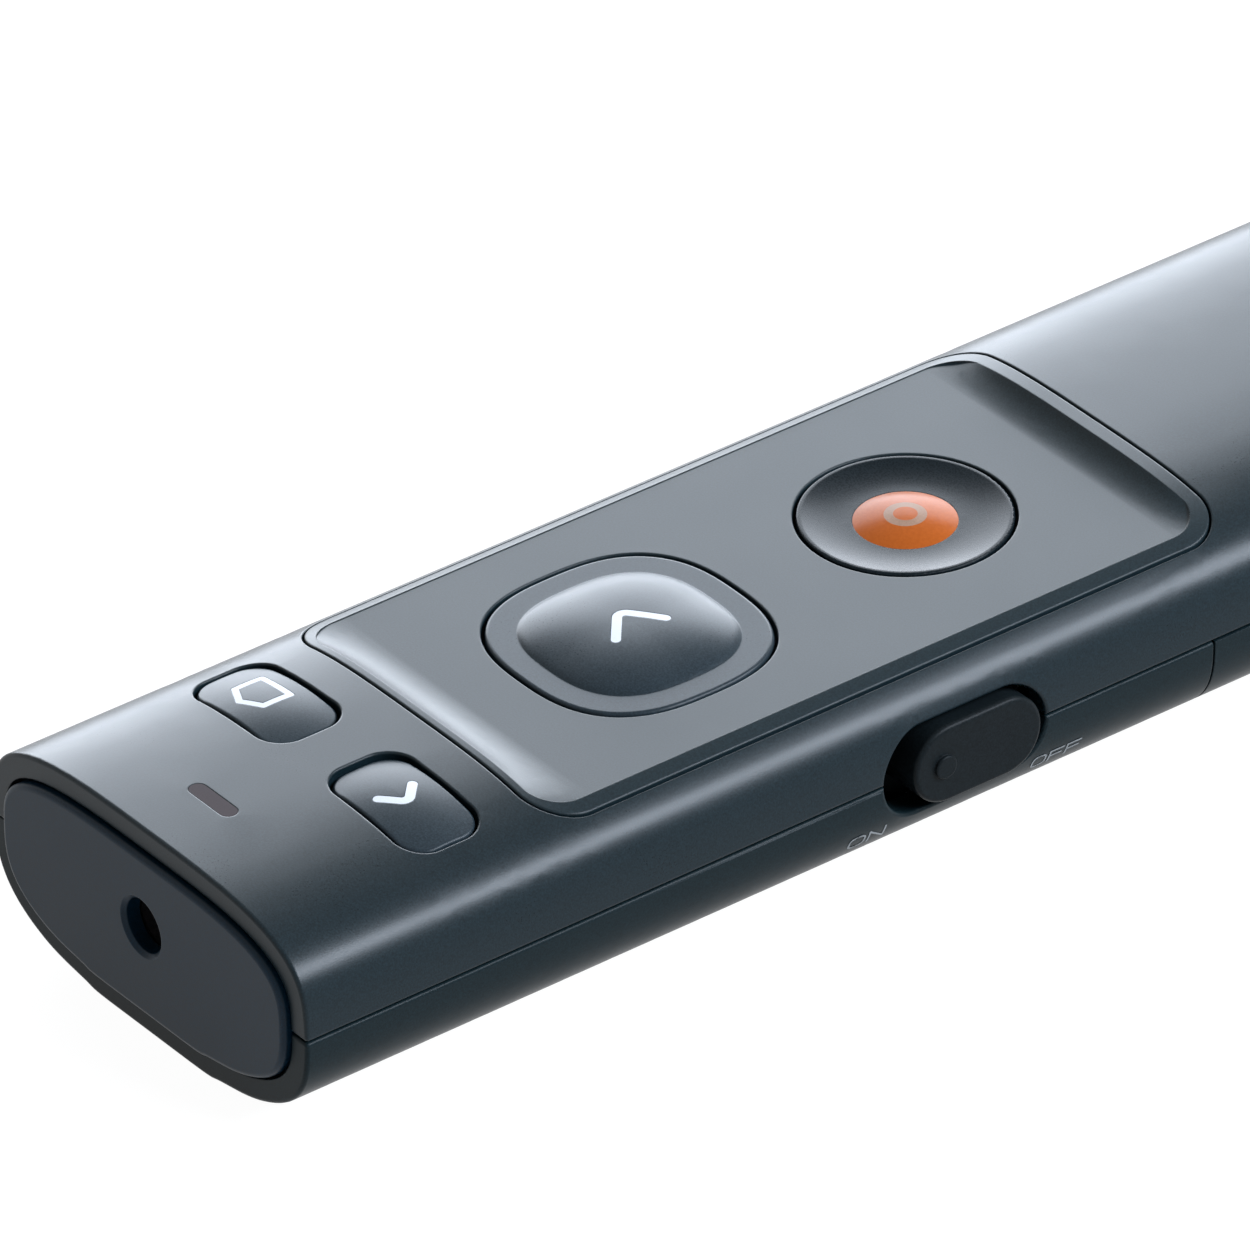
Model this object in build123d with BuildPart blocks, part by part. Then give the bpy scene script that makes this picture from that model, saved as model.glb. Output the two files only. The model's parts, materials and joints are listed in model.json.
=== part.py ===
from build123d import *
from math import atan2, cos, pi, radians, sin, sqrt
import os

os.makedirs("parts", exist_ok=True)

# Hand-held laser pointer and slide remote, in millimetres.
# X runs across the body, with the power slider on the +X side.
# Y runs along it: the laser leaves at -Y and the receiver is drawn out at +Y.
# Z is up. The origin is under the middle of the body, on the flat it rests on.

# Body
body_length = 128.0
body_width = 30.0
body_height = 14.0
crown_height = 6.55
top_exponent = 3.4
bottom_exponent = 2.8
rest_flat_depth = 0.05
wall = 1.5
front_edge_round = 0.22
round_steps = 4
outline_steps = 24
side_steps = 8
shell_seam = 0.12
pocket_round = 0.1
well_round = 0.12
slot_round = 0.2

# Front cap
cap_inset = 1.6
cap_gap = 0.2
cap_proud = 0.48
cap_depth = 1.35
cap_edge_round = 0.32
ledge_depth = 1.0
ledge_width = 1.0

# Laser, along the body's length
beam_lift = 0.13
aperture_radius = 1.7
aperture_chamfer = 0.25
window_radius = 2.5
window_thickness = 0.6
barrel_radius = 3.0
barrel_length = 8.0
barrel_bore_radius = 1.6
lens_radius = 2.0
lens_thickness = 1.4
lens_setback = 1.2
lens_curve_radius = 4.5
barrel_chamfer = 0.2
diode_radius = 2.4
diode_thickness = 1.2
diode_setback = 0.55
diode_can_radius = 1.6
diode_can_length = 1.5
diode_mouth_radius = 0.8
pin_radius = 0.2
pin_spacing = 1.27
pin_length_on_board = 2.2
holder_length = 4.6
holder_wall = 1.2
holder_wrap = 1.8
small_gap = 0.05

# Control panel, a tray whose rim follows the crown of the body
panel_start = 19.0
panel_overrun = 3.15
panel_width = 25.1
panel_corner = 3.0
panel_gap = 0.12
panel_flat_drop = 1.0
panel_thickness = 1.5
panel_front_rim = 0.45
panel_rear_rim = 1.0
front_scoop_radius = 5.5
rear_scoop_radius = 3.2
shelf_width = 1.3
shelf_thickness = 1.2
panel_rim_round = 0.12
panel_well_round = 0.1
tray_width = 23.2
tray_corner = 2.4
scoop_steps = 4
scoop_points = 6
scoop_margin = 0.03

# Buttons
button_gap = 0.2
button_travel = 0.4
flange_reach = 0.6
flange_thickness = 0.8
flange_play = 0.1
button_skin = 1.1
stem_radius = 1.3
next_position = 34.35
next_half_width = 7.85
next_exponent = 2.65
next_rim_lift = 0.04
pillow_half_width = 5.95
pillow_height = 0.98
pillow_fullness = 2.5
pillow_roundness = 0.8
laser_position = 54.5
laser_well_radius = 6.55
dish_rim_width = 0.28
dish_depth = 0.42
dome_radius = 3.08
dome_rise = 0.5
dome_plug_depth = 0.5
target_outer_radius = 1.27
target_inner_radius = 0.72
front_button_spread = 6.45
front_button_position = 13.35
front_button_length = 9.1
front_button_width = 5.6
front_button_corner = 1.9
front_button_lift = 0.02
front_button_dome = 18.0
front_button_lean = 1.05
button_edge_round = 0.22

# Legends, set flush into the buttons
legend_depth = 0.3
legend_stroke = 0.58
legend_bend = 0.5
next_chevron_reach = 2.2
next_chevron_spread = 1.8
previous_chevron_reach = 1.3
previous_chevron_spread = 1.22
previous_chevron_offset = -0.12
house_width = 2.75
house_length = 2.6
house_roof = 0.7
house_stroke = 0.42
house_offset = -0.9

# Indicator lamp and its light guide
lamp_position = 4.8
lamp_slot_length = 4.0
lamp_slot_width = 1.15
guide_gap = 0.03
guide_thickness = 1.0
guide_drop = 3.05
lamp_offset = 5.5
lamp_size = 1.6
lamp_height = 0.7

# Circuit board
board_start = 3.6
board_end = 64.2
board_half_width = 11.4
board_drop = 0.25
board_thickness = 1.0
board_notch_half_width = 4.5
board_notch_end = 10.3
board_hole_inset_x = 9.0
board_hole_front = 21.5
board_hole_rear = 61.0
tact_size = 4.5
tact_height = 1.3
plunger_radius = 1.0
plunger_clearance = 0.1
plunger_height = 0.5
plunger_length = 0.9
tact_corner = 0.4
board_corner = 0.5
chip_size = 5.0
chip_height = 0.9
chip_position = 44.0
crystal_offset = 6.5
crystal_length = 3.2
crystal_width = 2.5
capacitor_offset = 4.5
capacitor_pitch = 1.8
capacitor_length = 1.0
capacitor_thickness = 0.5

# Screws
screw_radius = 0.7
screw_fit = 0.02
screw_head_radius = 1.4
screw_head_height = 0.6
screw_head_round = 0.2
screw_bite = 3.0
screw_room = 0.3
tray_screw_bite = 2.0
recess_length = 1.5
recess_width = 0.35
recess_depth = 0.35
boss_radius = 1.9

# Power slider, across the parting line on the +X side
slot_position = 47.0
slot_length = 11.8
slot_height = 5.8
slider_gap = 0.35
slider_travel = 1.5
slider_rear_gap = 0.6
slider_front_gap = 0.4
slider_proud = 0.4
slider_edge_round = 0.3
slider_wall_gap = 0.25
slider_plate_thickness = 0.9
slider_plate_reach = 0.9
slider_dot_radius = 0.75
slider_dot_lift = 0.25
slider_dot_inset = 2.15
switch_length = 8.4
switch_depth = 3.0
switch_height = 2.6
switch_lever_width = 1.4
switch_lever_height = 1.2
switch_lever_depth = 1.4
switch_play = 0.15
fork_wall = 1.2
fork_lip = 0.6
fork_depth = 1.2

# Battery cover, one piece with the tail cap
cover_gap = 0.15
tail_cap_thickness = 2.4
tail_round = 1.8
rail_thickness = 0.6
rail_front_gap = 5.15
rail_rear_gap = 10.0
rail_height = 1.75
rail_wall_gap = 0.25
rail_lip = 0.6
rail_lip_height = 0.8
rail_clearance = 0.2
tongue_thickness = 1.4
tongue_length = 4.2
tongue_half_width = 9.0
tongue_floor_gap = 0.3
case_screw_spread = 4.5
case_screw_inset = 2.1

grip_groove_count = 5
grip_groove_spacing = 1.8
grip_groove_depth = 0.35
grip_groove_length = 14.0

# Cell and its contacts
cell_offset = -6.6
cell_drop = 0.5
cell_radius = 5.25
cell_length = 44.5
cell_nub_radius = 1.9
cell_nub_length = 1.0
cell_clearance = 0.3
cell_front_room = 6.65
cell_rear_room = 11.5
contact_thickness = 0.3
contact_width = 6.0
contact_dimple = 0.6
lead_height = 1.7
lead_offset = 0.9
cell_edge_round = 0.4
spring_plate = 8.0
spring_turn_points = 12
spring_wire = 0.5
spring_turns = 3.5
spring_room = 3.8
spring_small_radius = 2.2
spring_large_radius = 3.6
tray_plate = 1.3
tray_wall = 0.5
tray_deck_lift = 1.75
tray_deck_thickness = 1.2
tray_screw_setback = 6.0
tray_screw_pitch = 21.0

# Receiver, stored in the tail
receiver_offset = 5.75
shield_width = 12.0
shield_height = 4.5
shield_length = 12.5
shield_metal = 0.3
shield_corner = 0.5
shield_window = 2.2
shield_window_position = 6.2
shield_window_spread = 2.5
sleeve_setback = 1.1
contact_pad_length = 3.0
contact_pad_width = 1.2
contact_pad_pitch = 2.4
contact_pad_height = 0.1
receiver_clearance = 0.15
grip_width = 13.2
grip_height = 6.2
grip_length = 6.6
grip_proud = 1.0
grip_corner = 1.5
grip_edge_round = 0.6
grip_tenon = 2.0
tongue_plastic_height = 1.9
grip_groove_width = 0.8

# Values worked out from the sizes above
half_width = body_width / 2
tail_cap_start = body_length - tail_cap_thickness
parting_height = body_height - crown_height
beam_height = parting_height + beam_lift
panel_flat_height = body_height - panel_flat_drop
panel_seat_height = panel_flat_height - panel_thickness
guide_height = body_height - guide_drop
cell_axis_height = parting_height - cell_drop
cell_start = body_length - cell_rear_room - cell_length
cover_seam_position = cell_start - cell_front_room
panel_end = cover_seam_position + panel_overrun
ledge_end = cap_depth + ledge_depth
cell_end = cell_start + cell_length
board_height = parting_height - board_drop
board_top = board_height + board_thickness
tact_top = board_top + tact_height
stem_bottom = tact_top + plunger_height
rail_start = cover_seam_position + rail_front_gap
rail_end = body_length - rail_rear_gap
grip_groove_position = rail_start
tray_screw_front = cell_start + tray_screw_setback
tray_screw_rear = tray_screw_front + tray_screw_pitch
tray_deck_height = parting_height + tray_deck_lift
rear_plate_start = cell_end + spring_room + contact_thickness
front_plate_start = cell_start - contact_dimple - contact_thickness - tray_plate
flange_bottom = panel_seat_height - flange_play - flange_thickness
slider_length = slot_length - slider_travel - slider_front_gap - slider_rear_gap
slider_height = slot_height - 2 * slider_gap
slider_position = slot_position + slot_length / 2 - slider_rear_gap - slider_length / 2
shield_end = body_length + grip_proud - grip_length
shield_start = shield_end - shield_length
receiver_height = parting_height
deck_top = tray_deck_height + tray_deck_thickness


def station(distance):
    """Y coordinate of a point that lies a distance behind the front face."""
    return distance - body_length / 2


def across(distance):
    """Plane across the body, at a distance behind the front face."""
    return Plane.XZ.offset(-station(distance))


def curve_point(angle, exponent):
    """Point of a unit superellipse in the direction of an angle."""
    size = (abs(cos(angle)) ** exponent + abs(sin(angle)) ** exponent) ** (1 / exponent)
    return cos(angle) / size, sin(angle) / size


def body_outline(inset):
    """Cross-section of the body, drawn in from the outside by an inset."""
    half = half_width - inset
    rise = body_height - parting_height - inset
    drop = parting_height + rest_flat_depth - inset
    down = 1 - rest_flat_depth / drop
    out = (1 - down**bottom_exponent) ** (1 / bottom_exponent)
    flat_turn = atan2(down, out)
    turns = [pi * step / outline_steps for step in range(outline_steps + 1)]
    upper = [curve_point(turn, top_exponent) for turn in turns]
    lower = [curve_point(flat_turn * step / side_steps, bottom_exponent) for step in range(side_steps)]
    side = [(half * x, parting_height - drop * z) for x, z in lower] + [(half * out, inset)]
    with BuildSketch() as outline:
        with BuildLine():
            Spline(
                [(half * x, parting_height + rise * z) for x, z in upper],
                tangents=[(0, 1), (0, -1)],
            )
            Spline(side, tangents=[(0, -1), (-1, 0)])
            Line((half * out, inset), (-half * out, inset))
            Spline([(-x, z) for x, z in side], tangents=[(0, -1), (1, 0)])
        make_face()
    return outline.sketch


def body_bar(inset, start, end):
    """Length of the body's cross-section between two distances from the front."""
    with BuildPart() as bar:
        with BuildSketch(across(start)):
            add(body_outline(inset))
        extrude(amount=start - end)
    return bar.part


def rounded_end(inset, face_distance, radius, direction):
    """Rounded end of an inset body, from its flat face inwards along a direction."""
    with BuildPart() as end:
        for step in range(round_steps + 1):
            turn = radians(90 * step / round_steps)
            depth = radius * (1 - cos(turn))
            with BuildSketch(across(face_distance + direction * depth)):
                add(body_outline(inset + radius * (1 - sin(turn))))
        loft()
    return end.part


def squircle(half_size, exponent):
    """Soft square outline, as a superellipse."""
    corners = [curve_point(radians(15 * step), exponent) for step in range(24)]
    with BuildSketch() as outline:
        with BuildLine():
            Spline([(half_size * x, half_size * y) for x, y in corners], periodic=True)
        make_face()
    return outline.sketch


def panel_outline(growth):
    """Outline of the control panel seen from above."""
    length = panel_end - panel_start
    middle = station((panel_start + panel_end) / 2)
    with BuildSketch() as outline:
        with Locations((0, middle)):
            RectangleRounded(panel_width + 2 * growth, length + 2 * growth, panel_corner + growth)
    return outline.sketch


def next_outline(growth):
    """Outline of the next-page button seen from above."""
    return Pos(0, station(next_position)) * squircle(next_half_width + growth, next_exponent)


def front_button_outline(side, growth):
    """Outline of one of the two small buttons, side being -1 or 1."""
    with BuildSketch() as outline:
        with Locations((side * front_button_spread, station(front_button_position))):
            RectangleRounded(
                front_button_length + 2 * growth,
                front_button_width + 2 * growth,
                front_button_corner + growth,
            )
    return outline.sketch


def chevron(x, distance, reach, spread, direction):
    """Arrow of two strokes whose round point faces along X in a direction."""
    tip = (x + direction * reach / 2, station(distance))
    back = x - direction * reach / 2
    ends = [(back, station(distance) - spread), (back, station(distance) + spread)]
    with BuildSketch() as mark:
        with BuildLine():
            FilletPolyline(ends[0], tip, ends[1], radius=legend_bend)
            offset(amount=legend_stroke / 2, side=Side.BOTH)
        make_face()
    return mark.sketch


def house(x, distance):
    """Outline of a small house whose roof points to the laser end."""
    half = house_width / 2
    front = station(distance) - house_length / 2
    back = station(distance) + house_length / 2
    with BuildSketch() as plan:
        Polygon(
            (x, front),
            (x + half, front + house_roof),
            (x + half, back),
            (x - half, back),
            (x - half, front + house_roof),
            align=None,
        )
    with BuildSketch() as mark:
        offset(plan.sketch, amount=house_stroke / 2)
        offset(plan.sketch, -house_stroke / 2, kind=Kind.INTERSECTION, mode=Mode.SUBTRACT)
    return mark.sketch


def crown_edges(edges, height):
    """Those of some edges that run over the crown of the body, above a height."""
    return edges.filter_by(GeomType.BSPLINE).filter_by_position(
        Axis.Z, height + small_gap, body_height + small_gap
    )


def rim_edges(edges, outline):
    """Those of some edges that run round a piece's top, straight above its outline."""
    wall_line = outline.wires()[0]
    level = edges.filter_by(Axis.Z, reverse=True)
    high = level.filter_by_position(Axis.Z, panel_seat_height + small_gap, body_height)
    return high.filter_by(lambda edge: wall_line.distance_to(flat_point(edge @ 0.5)) < small_gap)


def flat_point(point):
    """A point's shadow on the ground plane."""
    return Vertex(point.X, point.Y, 0)


def side_edges(edges):
    """Those of some edges that lie on the outer face of the body's right side."""
    return edges.filter_by_position(Axis.X, half_width - wall / 3, half_width + small_gap)


def side_reach(height, inset):
    """Half width of the body's inset outline at a height."""
    if height > parting_height:
        share = (height - parting_height) / (body_height - parting_height - inset)
        exponent = top_exponent
    else:
        share = (parting_height - height) / (parting_height + rest_flat_depth - inset)
        exponent = bottom_exponent
    return (half_width - inset) * (1 - share**exponent) ** (1 / exponent)


def block(x_range, distances, heights, mode=Mode.ADD):
    """Box between two X values, two distances from the front and two heights."""
    middle = (sum(x_range) / 2, station(sum(distances) / 2), sum(heights) / 2)
    with Locations(middle):
        Box(
            x_range[1] - x_range[0],
            distances[1] - distances[0],
            heights[1] - heights[0],
            mode=mode,
        )


def prism(outline, heights):
    """Upright prism of an outline between two heights."""
    with BuildPart() as solid:
        with BuildSketch(Plane.XY.offset(heights[0])):
            add(outline)
        extrude(amount=heights[1] - heights[0])
    return solid.part


def rod(x, height, radius, distances, mode=Mode.ADD):
    """Cylinder along the body between two distances from the front."""
    with Locations(Location((x, station(sum(distances) / 2), height), (90, 0, 0))):
        Cylinder(radius, distances[1] - distances[0], mode=mode)


def post(x, distance, radius, heights, mode=Mode.ADD):
    """Upright cylinder between two heights."""
    with Locations((x, station(distance), sum(heights) / 2)):
        Cylinder(radius, heights[1] - heights[0], mode=mode)


def screw_set(points, seat, length, direction):
    """Pan-head screws at some points, their shanks pointing up (1) or down (-1)."""
    face = seat - direction * screw_head_height
    floor = face + direction * recess_depth
    with BuildPart() as screws:
        for x, distance in points:
            post(x, distance, screw_head_radius, sorted((seat, face)))
        rims = screws.edges().group_by(Axis.Z)[0 if direction > 0 else -1]
        fillet(rims, screw_head_round)
        for x, distance in points:
            post(x, distance, screw_radius, sorted((seat, seat + direction * length)))
            for run, rise in ((recess_length, recess_width), (recess_width, recess_length)):
                block(
                    (x - run / 2, x + run / 2),
                    (distance - rise / 2, distance + rise / 2),
                    sorted((face, floor)),
                    Mode.SUBTRACT,
                )
    return screws.part


def crown(x):
    """Height of the body's top over a distance from its middle."""
    share = abs(x) / half_width
    return parting_height + crown_height * (1 - share**top_exponent) ** (1 / top_exponent)


def scoop_run(radius):
    """Length of a scoop of a given radius, from the tray's flat to its rim."""
    return sqrt(2 * radius * panel_flat_drop - panel_flat_drop**2)


def scoop(rim_distance, direction, radius):
    """Room over one end of the tray, where its floor climbs from the flat to the crown."""
    run = scoop_run(radius)
    half = tray_width / 2
    across_points = [half * (2 * point / scoop_points - 1) for point in range(scoop_points + 1)]
    with BuildPart() as room:
        for step in range(scoop_steps + 1):
            reach = run * step / scoop_steps
            share = (radius - sqrt(radius**2 - reach**2)) / panel_flat_drop
            floor = [
                (x, panel_flat_height + share * (crown(x) + scoop_margin - panel_flat_height))
                for x in across_points
            ]
            with BuildSketch(across(rim_distance - direction * (run - reach))):
                with BuildLine():
                    curve = Spline(floor)
                    Polyline(curve @ 1, (half, 2 * body_height), (-half, 2 * body_height), curve @ 0)
                make_face()
        loft()
    return room.part


def save(piece, name):
    """Label a finished piece and write it."""
    piece.label = name
    export_step(piece, f"parts/{name}.step")


# Shapes shared by the housing parts
with BuildPart() as envelope:
    add(rounded_end(0, 0, front_edge_round, 1))
    add(body_bar(0, front_edge_round, body_length - tail_round))
    add(rounded_end(0, body_length, tail_round, -1))

cavity = body_bar(wall, ledge_end, tail_cap_start)
cap_opening = body_bar(cap_inset - cap_gap, -1, cap_depth)
ledge_opening = body_bar(wall + ledge_width, 0, ledge_end + 1)

with BuildPart() as slider_opening:
    with BuildSketch(Plane.YZ.offset(half_width / 2)):
        with Locations((station(slot_position), parting_height)):
            SlotOverall(slot_length, slot_height)
    extrude(amount=half_width)

front_run = scoop_run(front_scoop_radius)
rear_run = scoop_run(rear_scoop_radius)
tray_front = panel_start + panel_front_rim
tray_rear = panel_end - panel_rear_rim

with BuildPart() as tray_cut:
    add(scoop(tray_front, -1, front_scoop_radius))
    add(scoop(tray_rear, 1, rear_scoop_radius))
    block(
        (-tray_width / 2, tray_width / 2),
        (tray_front + front_run, tray_rear - rear_run),
        (panel_flat_height, 2 * body_height),
    )
    with BuildSketch(Plane.XY.offset(panel_seat_height)):
        with Locations((0, station((tray_front + tray_rear) / 2))):
            RectangleRounded(tray_width, tray_rear - tray_front, tray_corner)
    extrude(amount=body_height, mode=Mode.INTERSECT)

# Top shell
top_rear = tail_cap_start - cover_gap
rib_outer = half_width - wall - rail_wall_gap
rib_inner = rib_outer - rail_thickness
rail_top = parting_height + rail_height
tongue_top = wall + tongue_floor_gap + tongue_thickness + rest_flat_depth
case_screw_position = cover_seam_position + case_screw_inset
board_screw_points = [
    (side * board_hole_inset_x, distance)
    for side in (-1, 1)
    for distance in (board_hole_front, board_hole_rear)
]

with BuildPart() as panel_shelf:
    ends = (
        (panel_start - wall / 2, panel_start + shelf_width),
        (panel_end - shelf_width, panel_end + wall / 2),
    )
    for distances in ends:
        block(
            (-panel_width / 2, panel_width / 2),
            distances,
            (panel_seat_height - shelf_thickness, body_height),
        )
    for side in (-1, 1):
        post(
            side * case_screw_spread,
            case_screw_position,
            boss_radius,
            (tongue_top, body_height),
        )
    add(body_bar(wall / 2, 0, body_length), mode=Mode.INTERSECT)

with BuildPart() as tray_bosses:
    for distance in (tray_screw_front, tray_screw_rear):
        post(
            receiver_offset,
            distance,
            boss_radius,
            (deck_top, body_height),
        )
    add(body_bar(wall / 2, 0, body_length), mode=Mode.INTERSECT)

with BuildPart() as top_shell:
    add(envelope.part)
    add(cavity, mode=Mode.SUBTRACT)
    add(cap_opening, mode=Mode.SUBTRACT)
    add(ledge_opening, mode=Mode.SUBTRACT)
    add(body_bar(-1, top_rear, body_length + 1), mode=Mode.SUBTRACT)
    split(bisect_by=Plane.XY.offset(parting_height + shell_seam / 2), keep=Keep.TOP)
    add(panel_shelf.part)
    add(tray_bosses.part)
    above = body_height + 1
    add(prism(panel_outline(panel_gap), (panel_seat_height, above)), mode=Mode.SUBTRACT)
    fillet(crown_edges(top_shell.edges(Select.LAST), panel_seat_height), pocket_round)
    add(prism(panel_outline(-shelf_width), (parting_height, above)), mode=Mode.SUBTRACT)
    for side in (-1, 1):
        well = prism(front_button_outline(side, 0), (parting_height, above))
        add(well, mode=Mode.SUBTRACT)
        fillet(crown_edges(top_shell.edges(Select.LAST), body_height - wall), well_round)
        post(
            side * case_screw_spread,
            case_screw_position,
            screw_radius + screw_fit,
            (tongue_top, tongue_top + screw_bite + screw_room),
            Mode.SUBTRACT,
        )
        block(
            sorted((side * (rib_outer - wall), side * (rib_outer + rail_lip + rail_clearance))),
            (rail_start - 1, body_length),
            (rail_top - rail_lip_height - rail_clearance, rail_top + rail_clearance),
            Mode.SUBTRACT,
        )
    for distance in (tray_screw_front, tray_screw_rear):
        post(
            receiver_offset,
            distance,
            screw_radius + screw_fit,
            (deck_top, deck_top + tray_screw_bite + screw_room),
            Mode.SUBTRACT,
        )
    with BuildSketch(Plane.XY.offset(parting_height)):
        with Locations((0, station(lamp_position))):
            SlotOverall(lamp_slot_length, lamp_slot_width)
    extrude(amount=body_height, mode=Mode.SUBTRACT)
    add(slider_opening.part, mode=Mode.SUBTRACT)
    fillet(side_edges(top_shell.edges(Select.LAST)), slot_round)
save(top_shell.part, "top_shell")

# Bottom shell, with the tongue that the battery cover slides over
bottom_rear = cover_seam_position - cover_gap / 2
screw_seat = tongue_top - tongue_thickness / 2

with BuildPart() as tongue:
    block(
        (-tongue_half_width, tongue_half_width),
        (bottom_rear - tongue_length, bottom_rear + tongue_length),
        (0, tongue_top),
    )
    add(body_bar(wall + tongue_floor_gap, 0, body_length), mode=Mode.INTERSECT)
    block(
        (-tongue_half_width, tongue_half_width),
        (bottom_rear - tongue_length, bottom_rear - small_gap),
        (wall / 2, tongue_top),
    )
    add(body_bar(wall / 2, 0, body_length), mode=Mode.INTERSECT)

with BuildPart() as board_posts:
    for x, distance in board_screw_points:
        post(x, distance, boss_radius, (0, board_height))
    add(body_bar(wall / 2, 0, body_length), mode=Mode.INTERSECT)

with BuildPart() as bottom_shell:
    add(envelope.part)
    add(cavity, mode=Mode.SUBTRACT)
    add(cap_opening, mode=Mode.SUBTRACT)
    add(ledge_opening, mode=Mode.SUBTRACT)
    add(body_bar(-1, bottom_rear, body_length + 1), mode=Mode.SUBTRACT)
    split(bisect_by=Plane.XY.offset(parting_height - shell_seam / 2), keep=Keep.BOTTOM)
    add(tongue.part)
    add(board_posts.part)
    for x, distance in board_screw_points:
        pilot = (board_height - screw_bite - screw_room, board_height)
        post(x, distance, screw_radius + screw_fit, pilot, Mode.SUBTRACT)
    for side in (-1, 1):
        x = side * case_screw_spread
        post(x, case_screw_position, screw_radius + small_gap, (0, tongue_top), Mode.SUBTRACT)
        post(x, case_screw_position, screw_head_radius + small_gap, (0, screw_seat), Mode.SUBTRACT)
    add(slider_opening.part, mode=Mode.SUBTRACT)
    fillet(side_edges(bottom_shell.edges(Select.LAST)), slot_round)
save(bottom_shell.part, "bottom_shell")

# Front cap with the laser window behind it
with BuildPart() as front_cap:
    add(rounded_end(cap_inset, -cap_proud, cap_edge_round, 1))
    add(body_bar(cap_inset, cap_edge_round - cap_proud, cap_depth))
    rod(0, beam_height, aperture_radius, (-cap_proud, cap_depth), Mode.SUBTRACT)
    window_recess = (cap_depth - window_thickness - small_gap, cap_depth)
    rod(0, beam_height, window_radius + small_gap, window_recess, Mode.SUBTRACT)
    mouth = front_cap.edges().filter_by(GeomType.CIRCLE).sort_by(Axis.Y)[0]
    chamfer(mouth, aperture_chamfer)
save(front_cap.part, "front_cap")

with BuildPart() as laser_window:
    rod(0, beam_height, window_radius, (window_recess[0] + small_gap, cap_depth))
save(laser_window.part, "laser_window")

# Battery cover, with the tail cap, the rails and the receiver's opening
cover_front = cover_seam_position + cover_gap / 2
rail_floor = wall
with BuildPart() as rails:
    for side in (-1, 1):
        foot = sorted((side * rib_inner, side * half_width))
        block(foot, (rail_start, rail_end), (rail_floor, parting_height - shell_seam - cover_gap))
    add(body_bar(wall / 2, 0, body_length), mode=Mode.INTERSECT)
    for side in (-1, 1):
        rib = sorted((side * rib_inner, side * rib_outer))
        block(rib, (rail_start, rail_end), (parting_height - wall, rail_top))
        lip = sorted((side * rib_inner, side * (rib_outer + rail_lip)))
        block(lip, (rail_start, rail_end), (rail_top - rail_lip_height, rail_top))

with BuildPart() as receiver_opening:
    with BuildSketch(across(body_length + 1)):
        with Locations((receiver_offset, receiver_height)):
            RectangleRounded(
                grip_width + 2 * receiver_clearance,
                grip_height + 2 * receiver_clearance,
                grip_corner + receiver_clearance,
            )
    extrude(amount=tail_cap_thickness + 2)

with BuildPart() as battery_cover:
    add(envelope.part)
    add(body_bar(-1, -1, cover_front), mode=Mode.SUBTRACT)
    block(
        (-body_width, body_width),
        (0, tail_cap_start),
        (parting_height - shell_seam / 2, 2 * body_height),
        Mode.SUBTRACT,
    )
    add(cavity, mode=Mode.SUBTRACT)
    rod(
        cell_offset,
        cell_axis_height,
        cell_radius + cell_clearance,
        (cover_seam_position - wall, tail_cap_start),
        Mode.SUBTRACT,
    )
    add(rails.part)
    add(receiver_opening.part, mode=Mode.SUBTRACT)
    for groove in range(grip_groove_count):
        distance = grip_groove_position + groove * grip_groove_spacing
        with Locations(Location((0, station(distance), 0), (0, 90, 0))):
            Cylinder(grip_groove_depth, grip_groove_length, mode=Mode.SUBTRACT)
save(battery_cover.part, "battery_cover")

# Control panel
with BuildPart() as control_panel:
    add(prism(panel_outline(0), (panel_seat_height, body_height)))
    add(envelope.part, mode=Mode.INTERSECT)
    add(tray_cut.part, mode=Mode.SUBTRACT)
    wells = (panel_seat_height - 1, body_height)
    add(prism(next_outline(0), wells), mode=Mode.SUBTRACT)
    post(0, laser_position, laser_well_radius, wells, Mode.SUBTRACT)
    flats = control_panel.faces().filter_by_position(
        Axis.Z, panel_flat_height - small_gap, panel_flat_height + small_gap
    )
    fillet(flats.sort_by(SortBy.AREA)[-1].inner_wires().edges(), panel_well_round)
    fillet(rim_edges(control_panel.edges(), panel_outline(0)), panel_rim_round)
save(control_panel.part, "control_panel")

# Next-page button, a flat rim round a raised pillow, with a chevron set in
next_rim_top = panel_flat_height + next_rim_lift
pillow_shares = (1, 0.98, 0.95, 0.9, 0.83, 0.74, 0.63, 0.5, 0.36, 0.22, 0.1)
flange_top = flange_bottom + flange_thickness

with BuildPart() as pillow:
    for share in pillow_shares:
        height = pillow_height * (1 - share**pillow_fullness) ** pillow_roundness
        with BuildSketch(Plane.XY.offset(next_rim_top + height)):
            with Locations((0, station(next_position))):
                add(squircle(pillow_half_width * share, next_exponent))
    loft()

with BuildPart() as next_rim:
    add(prism(next_outline(-button_gap), (panel_seat_height, next_rim_top)))
    fillet(next_rim.edges().group_by(Axis.Z)[-1], button_edge_round)

with BuildPart() as next_mark:
    add(
        prism(
            chevron(0, next_position, next_chevron_reach, next_chevron_spread, -1),
            (next_rim_top + pillow_height - legend_depth, body_height + pillow_height),
        )
    )

with BuildPart() as next_button:
    add(prism(next_outline(flange_reach), (flange_bottom, flange_top)))
    add(prism(next_outline(-button_gap), (flange_bottom, panel_seat_height)))
    add(next_rim.part)
    add(pillow.part)
    hollow = (flange_bottom, panel_flat_height - button_skin)
    add(prism(next_outline(-button_gap - button_skin), hollow), mode=Mode.SUBTRACT)
    post(0, next_position, stem_radius, (stem_bottom, hollow[1]))

with BuildPart() as next_page_legend:
    add(next_button.part)
    add(next_mark.part, mode=Mode.INTERSECT)
save(next_page_legend.part, "next_page_legend")

with BuildPart() as next_page_button:
    add(next_button.part)
    add(next_mark.part, mode=Mode.SUBTRACT)
save(next_page_button.part, "next_page_button")

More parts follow.
